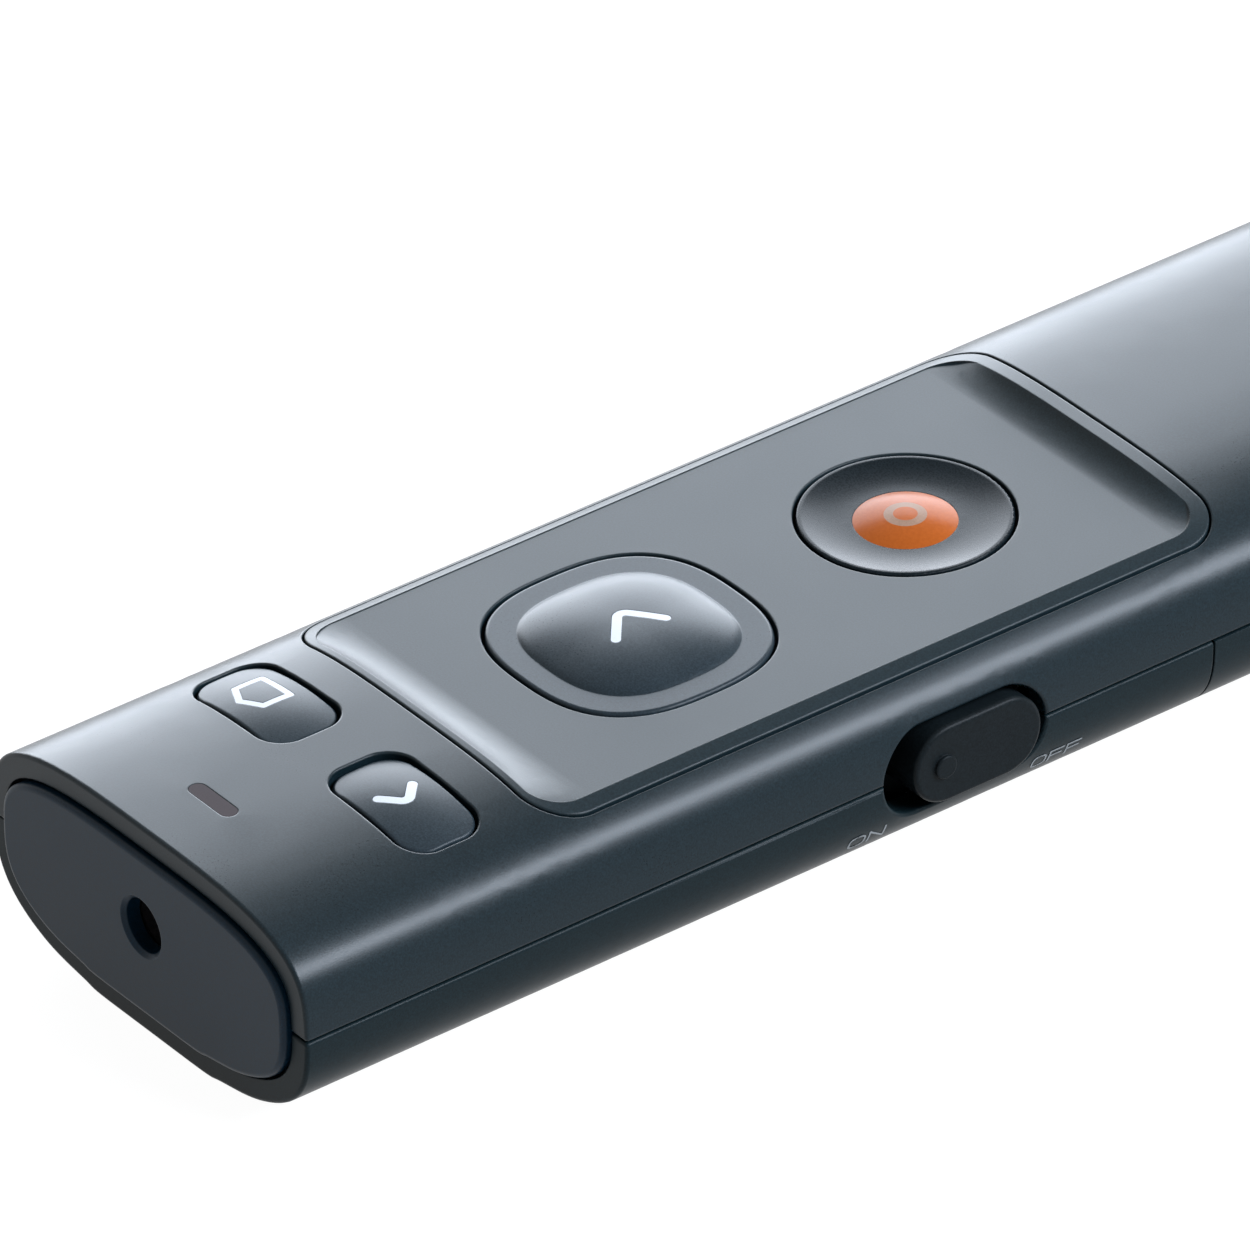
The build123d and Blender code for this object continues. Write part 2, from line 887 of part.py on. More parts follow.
# Laser button, a dished disc round an orange dome with a ring printed on it
disc_radius = laser_well_radius - button_gap
dish_radius = disc_radius - dish_rim_width
dish_floor = next_rim_top - dish_depth
dish_run = dish_radius - dome_radius
dish_curve = (dish_run**2 + dish_depth**2) / (2 * dish_depth)
dome_curve = (dome_radius**2 + dome_rise**2) / (2 * dome_rise)
laser_axis = Axis((0, station(laser_position), 0), (0, 0, 1))

with BuildPart() as dish_cut:
    with BuildSketch(across(laser_position)):
        with BuildLine():
            bowl = RadiusArc((dome_radius, dish_floor), (dish_radius, next_rim_top), -dish_curve)
            Polyline(
                bowl @ 1,
                (dish_radius, body_height),
                (0, body_height),
                (0, dish_floor),
                bowl @ 0,
            )
        make_face()
    revolve(axis=laser_axis)

with BuildPart() as laser_rim:
    post(0, laser_position, disc_radius, (panel_seat_height, next_rim_top))
    fillet(laser_rim.edges().group_by(Axis.Z)[-1], dish_rim_width / 2)

with BuildPart() as laser_button:
    flange_radius = laser_well_radius + flange_reach
    post(0, laser_position, flange_radius, (flange_bottom, flange_top))
    post(0, laser_position, disc_radius, (flange_bottom, panel_seat_height))
    add(laser_rim.part)
    add(dish_cut.part, mode=Mode.SUBTRACT)
    hollow = (flange_bottom, dish_floor - dome_plug_depth - button_skin)
    post(0, laser_position, disc_radius - button_skin, hollow, Mode.SUBTRACT)
    post(0, laser_position, stem_radius, (stem_bottom, hollow[1]))
    plug = (dish_floor - dome_plug_depth, dish_floor)
    post(0, laser_position, dome_radius, plug, Mode.SUBTRACT)
save(laser_button.part, "laser_button")

with BuildPart() as dome:
    with BuildSketch(across(laser_position)):
        with BuildLine():
            crown = RadiusArc((0, dish_floor + dome_rise), (dome_radius, dish_floor), dome_curve)
            Polyline(
                crown @ 1,
                (dome_radius, plug[0]),
                (0, plug[0]),
                crown @ 0,
            )
        make_face()
    revolve(axis=laser_axis)

with BuildPart() as target_mark:
    mark_heights = (dish_floor + dome_rise - legend_depth, body_height)
    post(0, laser_position, target_outer_radius, mark_heights)
    post(0, laser_position, target_inner_radius, mark_heights, Mode.SUBTRACT)

with BuildPart() as laser_button_ring:
    add(dome.part)
    add(target_mark.part, mode=Mode.INTERSECT)
save(laser_button_ring.part, "laser_button_ring")

with BuildPart() as laser_button_dome:
    add(dome.part)
    add(target_mark.part, mode=Mode.SUBTRACT)
save(laser_button_dome.part, "laser_button_dome")

# Home and previous-page buttons, each a little more domed than the body
front_button_bottom = beam_height + barrel_radius + button_travel
flange_crown = body_bar(wall + flange_play, 0, panel_start)
front_marks = {
    -1: house(-front_button_spread + house_offset, front_button_position),
    1: chevron(
        front_button_spread + previous_chevron_offset,
        front_button_position,
        previous_chevron_reach,
        previous_chevron_spread,
        1,
    ),
}
front_names = {-1: "home", 1: "previous_page"}

for side, name in front_names.items():
    x = side * front_button_spread
    dome_middle = (
        x - side * front_button_lean,
        station(front_button_position),
        body_height + front_button_lift - front_button_dome,
    )
    with BuildPart() as cap:
        add(prism(front_button_outline(side, -button_gap), (front_button_bottom, above)))
        with Locations(dome_middle):
            Sphere(front_button_dome, mode=Mode.INTERSECT)
        fillet(cap.faces().sort_by(Axis.Z)[-1].edges(), button_edge_round)
    with BuildPart() as flange:
        add(prism(front_button_outline(side, flange_reach), (front_button_bottom, body_height)))
        add(flange_crown, mode=Mode.INTERSECT)
    with BuildPart() as whole_button:
        add(cap.part)
        add(flange.part)
        post(x, front_button_position, stem_radius, (stem_bottom, front_button_bottom))
    mark = prism(front_marks[side], (front_button_bottom, above))
    with BuildPart() as skin:
        with Locations(dome_middle):
            Sphere(front_button_dome + legend_depth)
            Sphere(front_button_dome - legend_depth, mode=Mode.SUBTRACT)
        add(mark, mode=Mode.INTERSECT)
    with BuildPart() as legend:
        add(whole_button.part)
        add(skin.part, mode=Mode.INTERSECT)
    save(legend.part, f"{name}_legend")
    with BuildPart() as button:
        add(whole_button.part)
        add(skin.part, mode=Mode.SUBTRACT)
    save(button.part, f"{name}_button")

# Indicator lamp under its slot, and the light guide that fills the slot
guide_distances = (lamp_position - guide_thickness / 2, lamp_position + guide_thickness / 2)
lamp_side = lamp_offset + lamp_size / 2
lamp_top = board_top + lamp_height

with BuildPart() as led_light_guide:
    with BuildSketch(Plane.XY.offset(guide_height)):
        with Locations((0, station(lamp_position))):
            SlotOverall(lamp_slot_length - 2 * guide_gap, lamp_slot_width - 2 * guide_gap)
    extrude(amount=body_height)
    add(envelope.part, mode=Mode.INTERSECT)
    block(
        (-lamp_slot_length / 2, lamp_side),
        guide_distances,
        (guide_height, guide_height + guide_thickness),
    )
    block(
        (lamp_side - lamp_size, lamp_side),
        guide_distances,
        (lamp_top + small_gap, guide_height),
    )
save(led_light_guide.part, "led_light_guide")

with BuildPart() as led_chip:
    block(
        (lamp_side - lamp_size, lamp_side),
        (lamp_position - lamp_size / 4, lamp_position + lamp_size / 4),
        (board_top, lamp_top),
    )
save(led_chip.part, "led_chip")

# Laser module: barrel, lens, diode and the block that holds them on the floor
barrel_start = cap_depth + small_gap
barrel_end = barrel_start + barrel_length
lens_start = barrel_start + lens_setback
diode_start = barrel_end - diode_setback - diode_thickness
beam_axis = Axis((0, 0, beam_height), (0, 1, 0))

with BuildPart() as laser_barrel:
    rod(0, beam_height, barrel_radius, (barrel_start, barrel_end))
    chamfer(laser_barrel.edges(), barrel_chamfer)
    rod(0, beam_height, barrel_bore_radius, (barrel_start, barrel_end), Mode.SUBTRACT)
    lens_bore = (lens_start, barrel_end)
    rod(0, beam_height, lens_radius + small_gap, lens_bore, Mode.SUBTRACT)
    diode_bore = (diode_start - small_gap, barrel_end)
    rod(0, beam_height, diode_radius + small_gap, diode_bore, Mode.SUBTRACT)
save(laser_barrel.part, "laser_barrel")

with BuildPart() as laser_lens:
    bulge = lens_curve_radius - sqrt(lens_curve_radius**2 - lens_radius**2)
    with BuildSketch(Plane.YZ):
        with BuildLine():
            front = RadiusArc(
                (station(lens_start), beam_height),
                (station(lens_start + bulge), beam_height + lens_radius),
                lens_curve_radius,
            )
            Polyline(
                front @ 1,
                (station(lens_start + lens_thickness), beam_height + lens_radius),
                (station(lens_start + lens_thickness), beam_height),
                front @ 0,
            )
        make_face()
    revolve(axis=beam_axis)
save(laser_lens.part, "laser_lens")

with BuildPart() as laser_diode:
    rod(0, beam_height, diode_radius, (diode_start, diode_start + diode_thickness))
    rod(0, beam_height, diode_can_radius, (diode_start - diode_can_length, diode_start))
    rod(0, beam_height, diode_mouth_radius, (0, diode_start - diode_can_length / 2), Mode.SUBTRACT)
    for side in (-1, 1):
        rod(
            side * pin_spacing / 2,
            board_top + pin_radius + small_gap,
            pin_radius,
            (diode_start + diode_thickness, board_notch_end + pin_length_on_board),
        )
save(laser_diode.part, "laser_diode")

holder_half_width = barrel_radius + holder_wall
holder_start = board_start
with BuildPart() as laser_holder:
    block(
        (-holder_half_width, holder_half_width),
        (holder_start, holder_start + holder_length),
        (0, beam_height + holder_wrap),
    )
    add(body_bar(wall + guide_gap, 0, body_length), mode=Mode.INTERSECT)
    rod(0, beam_height, barrel_radius + guide_gap, (0, panel_start), Mode.SUBTRACT)
save(laser_holder.part, "laser_holder")

# Circuit board and what is soldered to it
plate_rise = slider_height / 2 + slider_plate_reach
plate_face = side_reach(parting_height + plate_rise, wall) - slider_wall_gap
plate_back = plate_face - slider_plate_thickness
switch_face = plate_back - fork_depth - switch_play
plate_half_length = slider_length / 2 + slider_plate_reach

with BuildPart() as main_pcb:
    board_heights = (board_height, board_top)
    block((-board_half_width, board_half_width), (board_start, board_end), board_heights)
    block(
        (-board_notch_half_width, board_notch_half_width),
        (0, board_notch_end),
        board_heights,
        Mode.SUBTRACT,
    )
    block(
        (switch_face, half_width),
        (
            slider_position - slider_travel - plate_half_length - slider_gap,
            slider_position + plate_half_length + slider_gap,
        ),
        board_heights,
        Mode.SUBTRACT,
    )
    fillet(main_pcb.edges().filter_by(Axis.Z), board_corner)
    for x, distance in board_screw_points:
        post(x, distance, screw_radius + small_gap, board_heights, Mode.SUBTRACT)
save(main_pcb.part, "main_pcb")

pcb_screws = screw_set(board_screw_points, board_top, board_thickness + screw_bite, -1)
save(pcb_screws, "pcb_screws")

tact_points = {
    "next_page": (0, next_position),
    "laser": (0, laser_position),
    "home": (-front_button_spread, front_button_position),
    "previous_page": (front_button_spread, front_button_position),
}
tact_floor = stem_bottom - plunger_length - button_travel - small_gap

for name, (x, distance) in tact_points.items():
    with BuildPart() as tact:
        block(
            (x - tact_size / 2, x + tact_size / 2),
            (distance - tact_size / 2, distance + tact_size / 2),
            (board_top, tact_top),
        )
        fillet(tact.edges().filter_by(Axis.Z), tact_corner)
        plunger_hole = (tact_floor, tact_top)
        post(x, distance, plunger_radius + plunger_clearance, plunger_hole, Mode.SUBTRACT)
    save(tact.part, f"{name}_tact_switch")
    with BuildPart() as plunger:
        post(x, distance, plunger_radius, (stem_bottom - plunger_length, stem_bottom))
    save(plunger.part, f"{name}_plunger")

with BuildPart() as radio_chip:
    block(
        (-chip_size / 2, chip_size / 2),
        (chip_position - chip_size / 2, chip_position + chip_size / 2),
        (board_top, board_top + chip_height),
    )
save(radio_chip.part, "radio_chip")

with BuildPart() as crystal:
    block(
        (-crystal_offset - crystal_length / 2, -crystal_offset + crystal_length / 2),
        (chip_position - crystal_width / 2, chip_position + crystal_width / 2),
        (board_top, board_top + chip_height),
    )
    fillet(crystal.edges().filter_by(Axis.Z), crystal_width / 5)
save(crystal.part, "crystal")

with BuildPart() as chip_capacitors:
    middle = (-crystal_offset, station(chip_position + capacitor_offset))
    height = board_top + capacitor_thickness / 2
    with Locations((middle[0], middle[1], height)):
        with GridLocations(capacitor_pitch, capacitor_pitch, 3, 2):
            Box(capacitor_length, capacitor_thickness, capacitor_thickness)
save(chip_capacitors.part, "chip_capacitors")

# Slide switch on the board, its lever and the slider that works it
lever_height = board_top + switch_height / 2
lever_half_width = switch_lever_width / 2
lever_half_height = switch_lever_height / 2
lever_start = switch_face - switch_lever_depth

with BuildPart() as power_switch:
    middle = slider_position - slider_travel / 2
    block(
        (switch_face - switch_depth, switch_face),
        (middle - switch_length / 2, middle + switch_length / 2),
        (board_top, board_top + switch_height),
    )
    block(
        (lever_start - switch_play, switch_face),
        (
            slider_position - slider_travel - lever_half_width - switch_play,
            slider_position + lever_half_width + switch_play,
        ),
        (lever_height - lever_half_height - switch_play, lever_height + lever_half_height + switch_play),
        Mode.SUBTRACT,
    )
save(power_switch.part, "power_switch")

with BuildPart() as switch_lever:
    block(
        (lever_start, plate_back),
        (slider_position - lever_half_width, slider_position + lever_half_width),
        (lever_height - lever_half_height, lever_height + lever_half_height),
    )
save(switch_lever.part, "switch_lever")

with BuildPart() as power_slider:
    face = half_width + slider_proud
    with BuildSketch(Plane.YZ.offset(plate_back)):
        with Locations((station(slider_position), parting_height)):
            SlotOverall(slider_length, slider_height)
    extrude(amount=face - plate_back)
    fillet(power_slider.edges().group_by(Axis.X)[-1], slider_edge_round)
    with BuildSketch(Plane.YZ.offset(plate_back)):
        with Locations((station(slider_position), parting_height)):
            SlotOverall(2 * plate_half_length, 2 * plate_rise)
    extrude(amount=slider_plate_thickness)
    dot_position = station(slider_position - slider_length / 2 + slider_dot_inset)
    with Locations(Location((face, dot_position, parting_height), (0, 90, 0))):
        Cylinder(slider_dot_radius, 2 * slider_dot_lift)
    fillet(power_slider.edges().group_by(Axis.X)[-1], slider_dot_lift / 2)
    block(
        (plate_back - fork_depth, plate_back),
        (
            slider_position - lever_half_width - fork_wall,
            slider_position + lever_half_width + fork_wall,
        ),
        (lever_height - lever_half_height - fork_lip, lever_height + lever_half_height + fork_lip),
    )
    block(
        (plate_back - fork_depth, plate_back),
        (
            slider_position - lever_half_width - guide_gap,
            slider_position + lever_half_width + guide_gap,
        ),
        (lever_height - lever_half_height - guide_gap, lever_height + lever_half_height + guide_gap),
        Mode.SUBTRACT,
    )
save(power_slider.part, "power_slider")

# Battery tray, hung from two bosses of the top shell
tray_half_width = rib_inner - rail_wall_gap
tray_start = front_plate_start
tray_end = rear_plate_start + tray_plate
shield_half_width = shield_width / 2 + receiver_clearance
shield_half_height = shield_height / 2 + receiver_clearance
partition = (
    receiver_offset - shield_half_width - tray_wall,
    receiver_offset - shield_half_width,
)
sleeve_back = shield_start - screw_room
sleeve_start = sleeve_back - tray_plate
sleeve_end = shield_end - sleeve_setback
lead_heights = (board_top, board_top + lead_height)
positive_lead = (cell_offset - lead_offset - lead_height, cell_offset - lead_offset)
negative_lead = (partition[0] - contact_thickness, partition[0])
cell_front = cell_start + cell_nub_length

with BuildPart() as battery_tray:
    block(
        (-tray_half_width, tray_half_width),
        (tray_start, tray_start + tray_plate),
        (0, body_height),
    )
    block((-tray_half_width, partition[1]), (rear_plate_start, tray_end), (0, body_height))
    block(partition, (tray_start, tray_end), (0, deck_top))
    block(
        (-tray_half_width, cell_offset - cell_radius - small_gap),
        (tray_start, tray_end),
        (cell_axis_height - tray_plate, cell_axis_height + tray_plate),
    )
    block(
        (partition[0], tray_half_width),
        (tray_start, sleeve_start + tray_plate),
        (tray_deck_height, deck_top),
    )
    block(
        (partition[0], tray_half_width),
        (sleeve_start, sleeve_end),
        (
            receiver_height - shield_half_height - tray_wall,
            receiver_height + shield_half_height + tray_wall,
        ),
    )
    add(body_bar(wall + rail_wall_gap, 0, body_length), mode=Mode.INTERSECT)
    block(
        (partition[1], receiver_offset + shield_half_width),
        (sleeve_back, body_length),
        (receiver_height - shield_half_height, receiver_height + shield_half_height),
        Mode.SUBTRACT,
    )
    for lead in (positive_lead, negative_lead):
        block(
            (lead[0] - guide_gap, lead[1] + guide_gap),
            (tray_start, tray_start + tray_plate),
            (lead_heights[0] - guide_gap, lead_heights[1] + guide_gap),
            Mode.SUBTRACT,
        )
    for distance in (tray_screw_front, tray_screw_rear):
        deck = (tray_deck_height, deck_top)
        post(receiver_offset, distance, screw_radius + small_gap, deck, Mode.SUBTRACT)
save(battery_tray.part, "battery_tray")

tray_screw_points = [
    (receiver_offset, distance) for distance in (tray_screw_front, tray_screw_rear)
]
tray_screws = screw_set(
    tray_screw_points, tray_deck_height, tray_deck_thickness + tray_screw_bite, 1
)
save(tray_screws, "tray_screws")

case_screw_points = [(side * case_screw_spread, case_screw_position) for side in (-1, 1)]
case_screws = screw_set(case_screw_points, screw_seat, tongue_top - screw_seat + screw_bite, 1)
save(case_screws, "case_screws")

# Cell between its two contacts
with BuildPart() as aaa_cell:
    rod(cell_offset, cell_axis_height, cell_radius, (cell_front, cell_end))
    fillet(aaa_cell.edges(), cell_edge_round)
    rod(cell_offset, cell_axis_height, cell_nub_radius, (cell_start, cell_front))
    fillet(aaa_cell.edges().group_by(Axis.Y)[0], cell_edge_round / 2)
save(aaa_cell.part, "aaa_cell")

with BuildPart() as positive_contact:
    plate_start = tray_start + tray_plate
    block(
        (cell_offset - contact_width / 2, cell_offset + contact_width / 2),
        (plate_start, plate_start + contact_thickness),
        (cell_axis_height - contact_width / 2, lead_heights[1]),
    )
    dimple = (plate_start + contact_thickness, cell_start - small_gap)
    rod(cell_offset, cell_axis_height, cell_nub_radius / 2, dimple)
    lead = (lead_heights[0], lead_heights[0] + contact_thickness)
    block(positive_lead, (board_end - lead_height, plate_start), lead)
save(positive_contact.part, "positive_contact")

spring_start = cell_end + spring_wire / 2 + small_gap
spring_end = rear_plate_start - contact_thickness - spring_wire / 4
spring_length = spring_end - spring_start
spring_points = []
for step in range(round(spring_turns * spring_turn_points) + 1):
    turn = step / spring_turn_points
    share = turn / spring_turns
    radius = spring_small_radius + (spring_large_radius - spring_small_radius) * share
    spring_points.append(
        (
            cell_offset + radius * cos(2 * pi * turn),
            station(spring_start + spring_length * share),
            cell_axis_height + radius * sin(2 * pi * turn),
        )
    )
spring_gap = min(
    (Vector(*spring_points[one]) - Vector(*spring_points[two])).length - spring_wire
    for one in range(len(spring_points))
    for two in range(one + spring_turn_points // 2, len(spring_points))
)
print(f"Least gap between the spring's turns: {spring_gap:.2f} mm")

with BuildPart() as negative_contact:
    plate = (rear_plate_start - contact_thickness, rear_plate_start)
    block(
        (cell_offset - spring_plate / 2, cell_offset + spring_plate / 2),
        plate,
        (cell_axis_height - spring_plate / 2, cell_axis_height + spring_plate / 2),
    )
    block((cell_offset, negative_lead[1]), plate, lead_heights)
    block(negative_lead, (board_end - lead_height, rear_plate_start), lead_heights)
    foot = (board_top, board_top + contact_thickness)
    block(
        (negative_lead[0], negative_lead[0] + lead_height),
        (board_end - lead_height, board_end),
        foot,
    )
    with BuildLine() as coil:
        Spline(spring_points)
    with BuildSketch(Plane(origin=coil.line @ 0, z_dir=coil.line % 0)):
        Circle(spring_wire / 2)
    sweep(path=coil.line)
save(negative_contact.part, "negative_contact")

# Receiver: shield, plastic tongue with four contacts, and the grip it is pulled by
with BuildPart() as receiver_shield:
    with BuildSketch(across(shield_start)):
        with Locations((receiver_offset, receiver_height)):
            RectangleRounded(shield_width, shield_height, shield_corner)
            inner = (shield_width - 2 * shield_metal, shield_height - 2 * shield_metal)
            Rectangle(*inner, mode=Mode.SUBTRACT)
    extrude(amount=-shield_length)
    window_centre = shield_start + shield_window_position
    for side in (-1, 1):
        x = receiver_offset + side * shield_window_spread
        block(
            (x - shield_window / 2, x + shield_window / 2),
            (window_centre - shield_window / 2, window_centre + shield_window / 2),
            (0, body_height),
            Mode.SUBTRACT,
        )
save(receiver_shield.part, "receiver_shield")

shield_floor = receiver_height - shield_height / 2 + shield_metal
tongue_heights = (shield_floor + small_gap, shield_floor + tongue_plastic_height)
inner_half_width = shield_width / 2 - shield_metal - small_gap
with BuildPart() as receiver_tongue:
    block(
        (receiver_offset - inner_half_width, receiver_offset + inner_half_width),
        (shield_start + shield_metal, shield_end - grip_tenon),
        tongue_heights,
    )
save(receiver_tongue.part, "receiver_tongue")

with BuildPart() as receiver_contacts:
    middle = shield_start + shield_metal + contact_pad_length
    with Locations((receiver_offset, station(middle), tongue_heights[1] + contact_pad_height / 2)):
        with GridLocations(contact_pad_pitch, 0, 4, 1):
            Box(contact_pad_width, contact_pad_length, contact_pad_height)
save(receiver_contacts.part, "receiver_contacts")

with BuildPart() as receiver_grip:
    with BuildSketch(across(body_length + grip_proud)):
        with Locations((receiver_offset, receiver_height)):
            RectangleRounded(grip_width, grip_height, grip_corner)
    extrude(amount=grip_length)
    fillet(receiver_grip.edges().group_by(Axis.Y)[-1], grip_edge_round)
    for side in (-1, 1):
        groove = Location(
            (
                receiver_offset,
                station(body_length + grip_proud / 2),
                receiver_height + side * grip_height / 2,
            ),
            (0, 90, 0),
        )
        with Locations(groove):
            Cylinder(grip_groove_width / 2, shield_width, mode=Mode.SUBTRACT)
    tenon_half_height = shield_height / 2 - shield_metal - small_gap
    block(
        (receiver_offset - inner_half_width, receiver_offset + inner_half_width),
        (shield_end - grip_tenon, shield_end),
        (receiver_height - tenon_half_height, receiver_height + tenon_half_height),
    )
save(receiver_grip.part, "receiver_grip")
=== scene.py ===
import json
from math import cos, pi, radians, sin

import bpy
from mathutils import Matrix, Vector


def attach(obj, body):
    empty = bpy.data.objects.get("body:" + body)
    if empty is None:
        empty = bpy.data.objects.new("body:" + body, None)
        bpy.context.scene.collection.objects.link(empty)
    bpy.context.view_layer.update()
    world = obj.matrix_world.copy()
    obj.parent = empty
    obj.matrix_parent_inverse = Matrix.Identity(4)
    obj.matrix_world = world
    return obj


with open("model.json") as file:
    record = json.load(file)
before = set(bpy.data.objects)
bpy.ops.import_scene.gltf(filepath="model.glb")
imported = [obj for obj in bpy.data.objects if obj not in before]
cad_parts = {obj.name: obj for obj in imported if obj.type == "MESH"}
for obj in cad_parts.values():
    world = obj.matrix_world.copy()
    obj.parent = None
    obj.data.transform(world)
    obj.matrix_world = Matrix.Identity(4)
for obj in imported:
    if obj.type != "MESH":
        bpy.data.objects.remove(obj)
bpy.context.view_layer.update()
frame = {"nodes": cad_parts, "record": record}
nodes = frame["nodes"]

# Camera, at the photograph's angle
CAMERA_AZIMUTH = radians(52.93)
CAMERA_ELEVATION = radians(33.24)
CAMERA_ROLL = radians(0.93)
CAMERA_DISTANCE = 0.9286
CAMERA_AIM = Vector((0.00925, -0.03694, 0.02137))
CAMERA_LENS = 474.6
SENSOR_WIDTH = 36
NEAREST_SEEN = 0.01
FARTHEST_SEEN = 20


def make_camera():
    """Long lens that looks down on the nose from the front right."""
    side = Vector((cos(CAMERA_AZIMUTH), sin(CAMERA_AZIMUTH), 0))
    back = Vector(
        (
            sin(CAMERA_AZIMUTH) * cos(CAMERA_ELEVATION),
            -cos(CAMERA_AZIMUTH) * cos(CAMERA_ELEVATION),
            sin(CAMERA_ELEVATION),
        )
    )
    rise = back.cross(side)
    right = side * cos(CAMERA_ROLL) - rise * sin(CAMERA_ROLL)
    up = side * sin(CAMERA_ROLL) + rise * cos(CAMERA_ROLL)
    data = bpy.data.cameras.new("camera")
    data.lens = CAMERA_LENS
    data.sensor_width = SENSOR_WIDTH
    data.clip_start = NEAREST_SEEN
    data.clip_end = FARTHEST_SEEN
    camera = bpy.data.objects.new("camera", data)
    camera.matrix_world = Matrix.Translation(CAMERA_AIM + back * CAMERA_DISTANCE) @ (
        Matrix((right, up, back)).transposed().to_4x4()
    )
    bpy.context.scene.collection.objects.link(camera)
    bpy.context.scene.camera = camera


class Shader:
    """Node tree of one material, with short calls for its nodes and links."""

    def __init__(self, name):
        self.material = bpy.data.materials.new(name)
        self.material.use_nodes = True
        self.tree = self.material.node_tree
        self.tree.nodes.clear()
        self.output = self.node("ShaderNodeOutputMaterial").inputs["Surface"]
        self.place = self.node("ShaderNodeTexCoord").outputs["Object"]

    def node(self, kind, settings=(), **inputs):
        """Node with its settings and named inputs, spaces in names written as underscores."""
        made = self.tree.nodes.new(kind)
        for key, value in dict(settings).items():
            setattr(made, key, value)
        for key, value in inputs.items():
            self.feed(made.inputs[key.replace("_", " ")], value)
        return made

    def feed(self, socket, value):
        """Link an output to a socket, or set its plain value."""
        if isinstance(value, bpy.types.NodeSocket):
            self.tree.links.new(value, socket)
        else:
            socket.default_value = value

    def noise(self, scale, detail=2.0, roughness=0.5):
        """Noise value in the object's own coordinates, scale in lumps per metre."""
        return self.node(
            "ShaderNodeTexNoise", Vector=self.place, Scale=scale, Detail=detail, Roughness=roughness
        ).outputs["Fac"]

    def span(self, value, low, high, start=0.0, end=1.0):
        """Value taken from one range into another, and held at its ends."""
        made = self.node("ShaderNodeMapRange", Value=value)
        for socket, number in zip(made.inputs[1:5], (start, end, low, high)):
            self.feed(socket, number)
        return made.outputs["Result"]

    def mix(self, factor, first, second):
        """Blend of two colours."""
        made = self.node("ShaderNodeMix", {"data_type": "RGBA"})
        for socket, value in zip((made.inputs[0], made.inputs[6], made.inputs[7]), (factor, first, second)):
            self.feed(socket, value)
        return made.outputs[2]

    def bump(self, height, relief, under=None):
        """Bumped normal, its relief in metres, over another normal if one is given."""
        made = self.node("ShaderNodeBump", Strength=1.0, Distance=relief, Height=height)
        if under is not None:
            self.feed(made.inputs["Normal"], under)
        return made.outputs["Normal"]

    def principled(self, **inputs):
        """Main shader, fed with named inputs and joined to the output."""
        made = self.node("ShaderNodeBsdfPrincipled", **inputs)
        self.feed(self.output, made.outputs[0])
        return made


def grey(level):
    """Neutral colour."""
    return (level, level, level, 1)


def shade(color, share):
    """Colour made darker or lighter."""
    return tuple(min(1.0, channel * share) for channel in color[:3]) + (1,)


def satin_plastic(name, color, roughness, speckle=0.25, relief=2.5e-6, ior=1.4, edge=0.0):
    """Moulded plastic with a fine spark texture, seen as small specks, its edges burnished."""
    shader = Shader(name)
    grain = shader.noise(9000, 2.0, 0.6)
    cloud = shader.noise(160, 3.0)
    specks = shader.span(grain, 0, 1, 0.35, 0.7)
    tone = shader.mix(specks, shade(color, 1 - speckle), shade(color, 1 + 2 * speckle))
    rough = shader.node("ShaderNodeMath", {"operation": "ADD"})
    shader.feed(rough.inputs[0], shader.span(grain, roughness - 0.03, roughness + 0.04, 0.3, 0.7))
    shader.feed(rough.inputs[1], shader.span(cloud, -0.012, 0.012, 0.3, 0.7))
    normal = shader.bump(grain, relief)
    if edge:
        round_off = shader.node("ShaderNodeBevel", {"samples": 6}, Radius=edge)
        normal = shader.bump(grain, relief, under=round_off.outputs["Normal"])
    made = shader.principled(Base_Color=tone, Roughness=rough.outputs[0], Normal=normal)
    made.inputs["IOR"].default_value = ior
    return shader.material


def lacquer(name, color):
    """Coloured moulding with a smooth, slightly uneven surface."""
    shader = Shader(name)
    grain = shader.noise(5000, 2.0)
    made = shader.principled(
        Base_Color=shader.mix(shader.span(grain, 0, 1, 0.35, 0.65), color, shade(color, 1.12)),
        Roughness=shader.span(grain, 0.2, 0.25, 0.3, 0.7),
        Normal=shader.bump(grain, 4e-7),
    )
    made.inputs["IOR"].default_value = 1.135
    return shader.material


def metal(name, color, roughness, grain_scale=2500, relief=1.5e-6, stretch=(1, 1, 1)):
    """Metal with drawn or tumbled marks and slightly uneven shine."""
    shader = Shader(name)
    drawn = shader.node("ShaderNodeMapping", Vector=shader.place, Scale=stretch).outputs[0]
    marks = shader.node("ShaderNodeTexNoise", Vector=drawn, Scale=grain_scale, Detail=3.0).outputs["Fac"]
    cloud = shader.noise(220, 3.0)
    tone = shader.mix(shader.span(cloud, 0, 1, 0.3, 0.7), shade(color, 0.86), shade(color, 1))
    made = shader.principled(
        Base_Color=tone,
        Roughness=shader.span(marks, roughness - 0.06, roughness + 0.07, 0.3, 0.7),
        Normal=shader.bump(marks, relief),
    )
    made.inputs["Metallic"].default_value = 1.0
    return shader.material


def clear(name, color, roughness, ior):
    """Clear moulded lens."""
    shader = Shader(name)
    haze = shader.noise(1500, 2.0)
    made = shader.principled(
        Base_Color=color,
        Roughness=shader.span(haze, roughness - 0.01, roughness + 0.02, 0.3, 0.7),
        Normal=shader.bump(haze, 4e-7),
    )
    made.inputs["Transmission Weight"].default_value = 0.85
    made.inputs["IOR"].default_value = ior
    return shader.material


